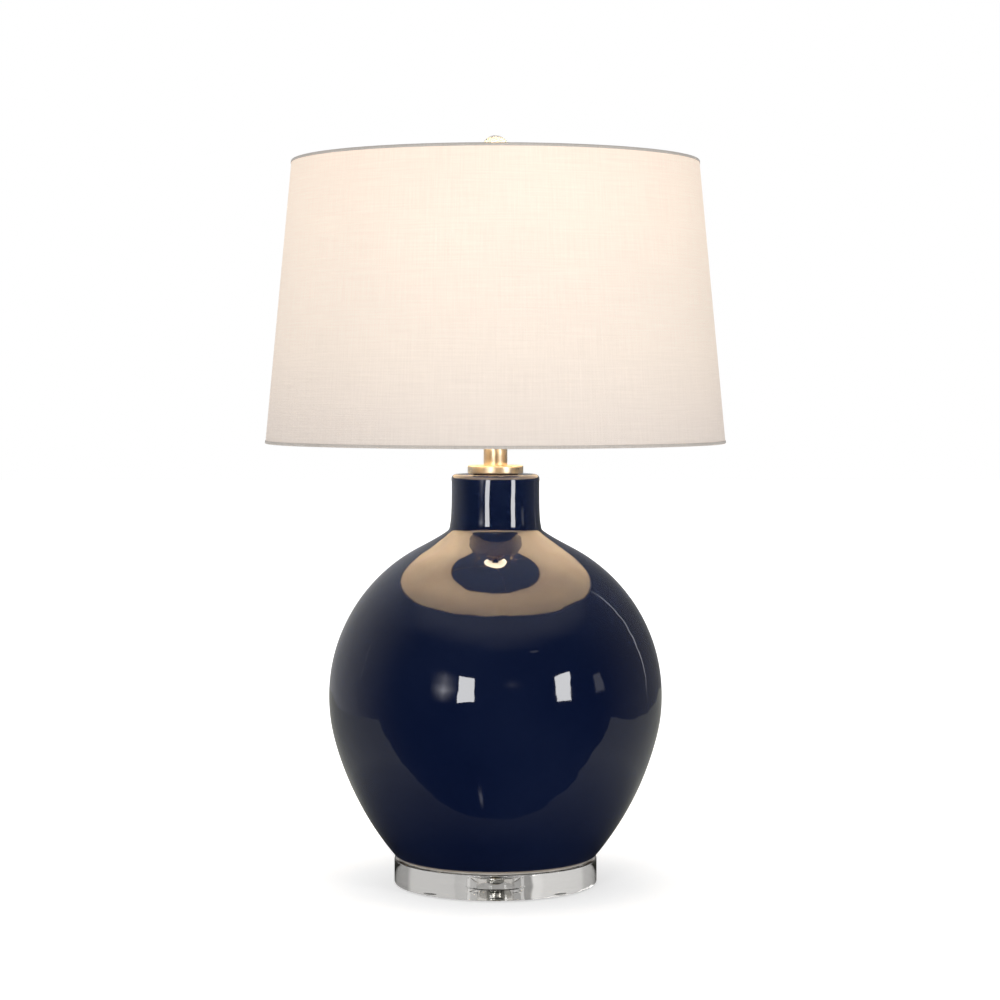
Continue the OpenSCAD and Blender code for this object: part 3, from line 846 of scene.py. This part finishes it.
def shade_edges():
    """Radius and height of the shade's outer face at its two edges, in millimetres."""
    bottom_r, bottom, _ = place("bottom_trim")
    top_r = 179.3
    top = place("top_trim")[2]
    return bottom_r, bottom, top_r, top


SHADE = shade_edges()


def shade_r(z):
    """Radius of the shade's outer face at a height."""
    bottom_r, bottom, top_r, top = SHADE
    return bottom_r + (top_r - bottom_r) * (z - bottom) / (top - bottom)


def wrapped(name, depth, thick, low, high, lap, seam):
    """A strip wound once round the shade, its end lapped over its start at the seam angle.

    depth is how far its face lies inside the shade's outer face, thick its thickness and lap how
    far it overlaps. Its UV map is in metres, along and up the cloth.
    """
    around, rows = 288, 10
    step_up = 3.0   # length over which the lap climbs onto the start of the strip
    middle = shade_r((low + high) / 2)
    extra = lap / middle
    ease = step_up / middle
    bm = bmesh.new()
    uv = bm.loops.layers.uv.new("cloth")

    def sheet_face(inset):
        grid = []
        for i in range(around + 1):
            gone = i / around * (FULL + extra)
            angle = seam + gone
            over = max(0.0, min(1.0, (gone - (FULL - ease)) / ease))
            over = over * over * (3 - 2 * over)
            line = []
            for k in range(rows + 1):
                z = low + (high - low) * k / rows
                r = (shade_r(z) - depth - inset + over * thick * 1.04) * MM
                line.append(bm.verts.new((r * math.cos(angle), r * math.sin(angle), z * MM)))
            grid.append(line)
        return grid

    front, back = sheet_face(0), sheet_face(thick)
    places = {}
    for grid in (front, back):
        for i, line in enumerate(grid):
            for k, v in enumerate(line):
                places[v] = (i / around * FULL * middle * MM, (low + (high - low) * k / rows) * MM)
    faces = []
    for i in range(around):
        for k in range(rows):
            faces.append([front[i][k], front[i + 1][k], front[i + 1][k + 1], front[i][k + 1]])
            faces.append([back[i][k + 1], back[i + 1][k + 1], back[i + 1][k], back[i][k]])
        faces.append([back[i][0], back[i + 1][0], front[i + 1][0], front[i][0]])
        faces.append([front[i][rows], front[i + 1][rows], back[i + 1][rows], back[i][rows]])
    for k in range(rows):
        faces.append([back[0][k], front[0][k], front[0][k + 1], back[0][k + 1]])
        faces.append([front[-1][k], back[-1][k], back[-1][k + 1], front[-1][k + 1]])
    for corners in faces:
        face = bm.faces.new(corners)
        for loop in face.loops:
            loop[uv].uv = places[loop.vert]
    return finish_mesh(name, bm, 40)


def hem(name, node, edge, inward):
    """Strip folded over one edge of the shade, at height edge: outer band, fold and inner band.

    inward is the height of the shade's other edge.
    """
    band, trim, width = 2.7, 0.5, 4.6
    pucker = 0.10
    up = -1 if edge > inward else 1
    edge_r = shade_r(edge)

    def at(depth, rise):
        return (shade_r(edge + up * rise) - depth, edge + up * rise)

    fold = [at(0, band), at(0, 1.0), at(0.35, 0.25), at(1.2, 0.0), at(width - 1.2, 0.0),
            at(width - 0.35, 0.25), at(width, 1.0), at(width, band)]
    inner = [at(width - trim, band), at(width - trim, 1.2), at(width - 1.2, trim),
             at(1.3, trim), at(trim, 1.1), at(trim, band)]

    def radius(r, height, angle):
        p = Vector((math.cos(angle) * 22, math.sin(angle) * 22, height / 9))
        return r - pucker * abs(noise.noise(p))

    bm = bmesh.new()
    turn(bm, rounded(fold + inner, 0.25, 2), 288, radius)
    uv = bm.loops.layers.uv.new("cloth")
    for face in bm.faces:
        angles = [math.atan2(loop.vert.co.y, loop.vert.co.x) for loop in face.loops]
        wrap = max(angles) - min(angles) > math.pi
        for loop, angle in zip(face.loops, angles):
            if wrap and angle < 0:
                angle += FULL
            flat = loop.vert.co.z + math.hypot(loop.vert.co.x, loop.vert.co.y)
            loop[uv].uv = (angle * edge_r * MM, flat)
    return fit_out(finish_mesh(name, bm, 60), "shade", "shade_hem", node)


def ring(name, node):
    """Wire ring of the shade's frame."""
    r, low, high = place(node)
    wire = (high - low) / 2
    z = (high + low) / 2
    steps = 160
    route = []
    for i in range(steps):
        angle = FULL * i / steps
        route.append(Vector(((r - wire) * math.cos(angle), (r - wire) * math.sin(angle), z)) * MM)
    bm = bmesh.new()
    sweep(bm, route, wire * MM, 16, closed=True)
    return fit_out(finish_mesh(name, bm), "shade", "spider_brass", node)


def spider():
    """Pierced hub with three wires that rise to the top ring."""
    hub_r, hub_h, bore, spoke = 12, 1.6, 3.2, 1.3
    azimuths = (-73, 47, 167)
    inner_end, gap = hub_r - 4, 0.6
    ring_r, ring_low, ring_high = place("top_ring")
    reach = ring_r - (ring_high - ring_low) / 2
    ring_z = (ring_low + ring_high) / 2
    hub_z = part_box("spider")[0].z / MM + hub_h / 2
    bm = bmesh.new()
    turn(bm, rounded([(bore, hub_z - hub_h / 2), (hub_r, hub_z - hub_h / 2),
                      (hub_r, hub_z + hub_h / 2), (bore, hub_z + hub_h / 2)], 0.4), 64)
    for azimuth in azimuths:
        way = Vector((math.cos(math.radians(azimuth)), math.sin(math.radians(azimuth)), 0))
        route = []
        for i in range(25):
            t = i / 24
            out = inner_end + (reach - gap - inner_end) * t
            rise = hub_z + (ring_z - hub_z) * t
            route.append((way * out + Vector((0, 0, rise))) * MM)
        sweep(bm, route, spoke * MM, 20)
    return fit_out(finish_mesh("spider_frame", bm), "shade", "spider_brass", "spider")


def shade():
    bottom_r, bottom, top_r, top = SHADE
    cloth_in, cloth_t, liner_in, liner_t, lap = 0.5, 0.36, 1.03, 0.54, 15
    trim = 0.5
    seam = math.radians(90)
    liner_seam = seam + 0.2
    low, high = bottom + trim, top - trim
    liner = wrapped("shade_lining", liner_in, liner_t, low, high, 0, liner_seam)
    fit_out(liner, "shade", "shade_liner", "shade_liner")
    cloth = wrapped("shade_cloth", cloth_in, cloth_t, low, high, lap, seam)
    fit_out(cloth, "shade", "shade_linen", "shade_fabric")
    top_hem = hem("top_hem", "top_trim", top, bottom)
    bottom_hem = hem("bottom_hem", "bottom_trim", bottom, top)


# Finial

def finial():
    """Turned brass neck with a bore for the insert, and the crystal ball on it."""
    _, low, high = place("finial_base")
    bore, bore_top = 4.2, low + 9.8
    side = [(6.2, low), (6.8, low + 0.2), (7.0, low + 0.9), (7.0, low + 1.8), (6.5, low + 2.5)]
    side += [(5.8, low + 3.2), (5.45, low + 4.4), (5.4, low + 5.6), (5.6, low + 7.3)]
    side += [(6.1, low + 8.9), (6.6, low + 9.7), (6.8, low + 10.3), (6.5, low + 10.8)]
    outline = [(0, high), (5.9, high)] + side[::-1] + [(bore, low), (bore, bore_top), (0, bore_top)]
    fit_out(lathe("finial_neck", outline, 96), "finial", "satin_brass", "finial_base")
    r, low, top = place("finial_ball")
    centre = top - r
    start = math.degrees(math.asin((low - centre) / r))
    ball = arc(0, centre, r, start, 90, 48)
    ball[-1] = (0, top)
    fit_out(lathe("finial_crystal", [(0, low)] + ball, 128), "finial", "crystal", "finial_ball")


# The lamp

for node_name, slot_name in KEPT.items():
    dress(frame["nodes"][node_name], FINISHES[slot_name])
base_disc()
bumpers()
hex_nut("base_nut_turned", "base_nut", "stand", "zinc_steel")
pipe()
vase()
bushing()
neck_cap()
neck_tube()
hex_nut("saddle_nut_turned", "saddle_nut", "stand", "harp_brass")
socket_cap()
socket_shell()
switch_knob()
bulb_base()
bulb_contact()
bulb_glass()
harp()
harp_seat()
ferrule("sleeve_left", "ferrule_left", "left_ferrule")
ferrule("sleeve_right", "ferrule_right", "right_ferrule")
ring("top_wire", "top_ring")
ring("bottom_wire", "bottom_ring")
spider()
shade()
finial()


# Stage

def stage_plane(name, corners, material):
    mesh = bpy.data.meshes.new(name)
    mesh.from_pydata(corners, [], [range(len(corners))])
    plane = bpy.data.objects.new(name, mesh)
    mesh.materials.append(material)
    bpy.context.scene.collection.objects.link(plane)
    return plane


def distance(finish):
    """Distance from the middle of the lamp's foot, in metres."""
    coords = finish.node("TexCoord").outputs["Object"]
    return finish.node("VectorMath", {0: coords}, operation="LENGTH").outputs["Value"]


def put_on(finish, surface):
    """Makes a shader the surface of a stage material."""
    finish.tree.links.new(surface, finish.tree.nodes["Material Output"].inputs["Surface"])


def hide_from_all_but_mirrors(plane):
    plane.visible_camera = False
    plane.visible_diffuse = False
    plane.visible_transmission = False
    plane.visible_shadow = False


def floor():
    """White floor, clear from below, with a painted shadow round the lamp's foot, and a dimmer copy
    of it that only mirror reflections see, also painted dark round the foot.
    """
    white = Finish("floor_white", (0.85, 0.85, 0.85), 0.9, Emission_Strength=1.0)
    # painted shadow: for the camera the floor's glow is lower within 0.4 m of the foot, on top of
    # its real shadow
    painted_floor_shadow = white.ramp(distance(white), 0.10, 0.40, 0.54, 1.0)
    on_lamp = 0.3   # its brightness for everything but the camera
    seen_straight = white.node("LightPath").outputs["Is Camera Ray"]
    grey = white.node("Mix", {0: seen_straight, 2: on_lamp, 3: painted_floor_shadow}, data_type="FLOAT").outputs[0]
    tone = white.node("CombineColor", {0: grey, 1: grey, 2: grey})
    white.drive("Emission Color", tone.outputs[0])
    white.drive("Normal", white.bump(white.noise(400, 2), 0.00001))
    from_below = white.node("NewGeometry").outputs["Backfacing"]
    gone = white.node("BsdfTransparent").outputs[0]
    above = white.shader.outputs[0]
    put_on(white, white.node("MixShader", {0: from_below, 1: above, 2: gone}).outputs[0])
    half = 9.0
    corners = [(-half, -half, 0), (half, -half, 0), (half, half, 0), (-half, half, 0)]
    seen = stage_plane("floor", corners, white.material)
    seen.visible_glossy = False

    dim = Finish("floor_mirrored", (0, 0, 0), 1.0)
    # painted shadow: the mirrored floor is painted dark near the foot, standing in for the vase's
    # shadow on it
    glow = dim.ramp(distance(dim), 0.12, 0.34, 0.02, 0.34)
    tone = dim.node("CombineColor", {0: glow, 1: glow, 2: dim.math("MULTIPLY", glow, 0.9)})
    shine = dim.node("Emission", {"Color": tone.outputs[0]}).outputs[0]
    clear = dim.node("BsdfTransparent").outputs[0]
    through = dim.node("LightPath").outputs["Is Transmission Ray"]
    put_on(dim, dim.node("MixShader", {0: through, 1: shine, 2: clear}).outputs[0])
    front, side, back, lift = -0.164, 0.9, 1.5, 0.0002   # it starts in front of the lamp's foot
    corners = [(-side, front, lift), (side, front, lift), (side, back, lift), (-side, back, lift)]
    hide_from_all_but_mirrors(stage_plane("floor_mirrored", corners, dim.material))


def room_card(name, azimuth, elevation, width, height, strength, soft):
    """A pale patch of the room, such as a window or a door, that shows only in the glaze and brass.

    Azimuth is from the camera's side, positive to the right. soft is how far its edges fade.
    """
    f = Finish(name, (0, 0, 0), 1.0)
    coords = f.node("TexCoord").outputs["Generated"]
    axes = f.node("SeparateXYZ", {"Vector": coords}).outputs
    fades = []
    for axis in ("X", "Y"):
        off = f.math("ABSOLUTE", f.math("SUBTRACT", axes[axis], 0.5))
        fades.append(f.ramp(off, 0.5 - soft / 2, 0.5, 1, 0))
    share = f.math("MULTIPLY", fades[0], fades[1])
    level = f.math("MULTIPLY", share, strength)
    tint = f.node("CombineColor", {0: level, 1: level, 2: f.math("MULTIPLY", level, 1.06)})
    shine = f.node("Emission", {"Color": tint.outputs[0]}).outputs[0]
    clear = f.node("BsdfTransparent").outputs[0]
    put_on(f, f.node("MixShader", {0: share, 1: clear, 2: shine}).outputs[0])
    w, h = width / 2, height / 2
    card = stage_plane(name, [(-w, -h, 0), (w, -h, 0), (w, h, 0), (-w, h, 0)], f.material)
    a, e = math.radians(azimuth), math.radians(elevation)
    way = Vector((math.sin(a) * math.cos(e), -math.cos(a) * math.cos(e), math.sin(e)))
    away, belly = 2.3, 0.143
    middle = Vector((0, 0, place("vase")[1] * MM + belly))
    card.location = middle + way * away
    card.rotation_mode = "QUATERNION"
    card.rotation_quaternion = way.to_track_quat("Z", "Y")
    hide_from_all_but_mirrors(card)


def softbox(name, azimuth, power):
    """Area light at an azimuth from the camera's side, positive to the right, aimed at the lamp."""
    width, height, away, z, target = 0.38, 0.60, 2.0, 0.49, 0.3
    light = bpy.data.lights.new(name, "AREA")
    light.shape = "RECTANGLE"
    light.size, light.size_y = width, height
    light.energy = power
    item = bpy.data.objects.new(name, light)
    a = math.radians(azimuth)
    item.location = (math.sin(a) * away, -math.cos(a) * away, z)
    aim = Vector((0, 0, target)) - item.location
    item.rotation_mode = "QUATERNION"
    item.rotation_quaternion = aim.to_track_quat("-Z", "Y")
    bpy.context.scene.collection.objects.link(item)


# azimuth, elevation, width, height, strength and softness of each patch of the room
CARDS = [
    (-35, 10, 0.85, 0.85, 3.6, 1.0),
    (12, 14, 0.70, 0.35, 0.35, 1.0),
    (74, 8, 0.36, 0.46, 0.7, 0.4),
    (124, 20, 0.08, 2.6, 1.6, 0.5),
    (-104, 14, 0.10, 2.2, 0.5, 0.8),
    (-13, -50, 0.14, 0.42, 0.9, 0.7),
    (30, 34, 0.28, 0.10, 0.6, 0.5),
]


def bulb_light(power):
    """Light of the bulb, at the middle of its globe."""
    r, _, high = place("bulb_glass")
    light = bpy.data.lights.new("bulb_light", "POINT")
    light.energy = power
    light.color = (1.0, 0.77, 0.50)
    light.shadow_soft_size = (r - 2) * MM
    item = bpy.data.objects.new("bulb_light", light)
    item.location = (0, 0, (high - r) * MM)
    bpy.context.scene.collection.objects.link(item)
    item.parent = frame["bodies"]["bulb"]
    item.visible_glossy = False


# brightness of the room as seen through the acrylic, by how far to the left, -1, or right, 1
SEEN_THROUGH = [
    (-0.75, 0.52), (-0.70, 0.70), (-0.32, 0.72), (-0.29, 0.80), (-0.24, 0.80), (-0.225, 0.30),
    (-0.17, 0.32), (-0.155, 0.48), (0.13, 0.46), (0.14, 0.58), (0.255, 0.52), (0.265, 0.60),
    (0.68, 0.62), (0.74, 0.34),
]


def world():
    """White backdrop.

    Reflections see a dark room in front, paler at the sides and above. The acrylic shows bands.
    """
    made = bpy.data.worlds.new("studio")
    bpy.context.scene.world = made
    made.use_nodes = True
    tree = made.node_tree
    tree.nodes.clear()

    def node(kind, inputs=(), **settings):
        return add_node(tree, kind, inputs, **settings)

    def ramp(value, low, high, out_low, out_high, easing="SMOOTHSTEP"):
        values = {0: value, 1: low, 2: high, 3: out_low, 4: out_high}
        return node("MapRange", values, interpolation_type=easing).outputs[0]

    def combine(operation, a, b):
        return node("Math", {0: a, 1: b}, operation=operation).outputs[0]

    def choose(share, a, b):
        return node("Mix", {0: share, 2: a, 3: b}, data_type="FLOAT").outputs[0]

    way = node("SeparateXYZ", {"Vector": node("TexCoord").outputs["Generated"]}).outputs
    to_back = ramp(way["Y"], -0.45, 0.75, 0.0, 1.0)
    left = ramp(way["X"], 0.5, -0.5, 0.35, 1.0)
    sides = combine("MULTIPLY", combine("MULTIPLY", to_back, left), 0.42)
    above = ramp(way["Z"], 0.58, 0.8, 0.0, 0.30)
    glossy = combine("ADD", combine("MAXIMUM", sides, above), 0.012)
    path = node("LightPath").outputs
    not_through = combine("SUBTRACT", 1.0, path["Is Transmission Ray"])
    mirror = combine("MULTIPLY", path["Is Glossy Ray"], not_through)
    lit = ramp(way["X"], -0.7, 0.7, 0.60, 0.43)
    across = ramp(way["X"], -1.0, 1.0, 0.0, 1.0, "LINEAR")
    bands = node("ValToRGB", {"Fac": across})
    stops = bands.color_ramp.elements
    stops[0].color = (0.50, 0.50, 0.50, 1)
    stops[1].color = (0.40, 0.40, 0.40, 1)
    for at, level in SEEN_THROUGH:
        stops.new((at + 1) / 2).color = (level, level, level, 1)
    strength = choose(path["Is Transmission Ray"], lit, bands.outputs["Color"])
    strength = choose(mirror, strength, glossy)
    strength = choose(path["Is Camera Ray"], strength, 1.0)
    background = node("Background", {"Color": (1, 1, 1, 1), "Strength": strength})
    node("OutputWorld", {"Surface": background.outputs[0]})


def camera():
    """Long lens a little above the middle of the lamp, looking slightly down."""
    distance, height, aside, pitch = 2.211, 0.4461, 0.004, 2.72
    data = bpy.data.cameras.new("camera")
    data.lens = 90
    data.sensor_width = 36
    item = bpy.data.objects.new("camera", data)
    item.location = (aside, -distance, height)
    item.rotation_euler = (math.radians(90 - pitch), 0, 0)
    bpy.context.scene.collection.objects.link(item)
    bpy.context.scene.camera = item


floor()
softbox("softbox_left", -20, 7.5)
softbox("softbox_right", 46, 7.5)
for number, patch in enumerate(CARDS):
    room_card("room_card_%d" % number, *patch)
bulb_light(5.4)
world()
camera()
bpy.context.scene.view_settings.view_transform = "Standard"
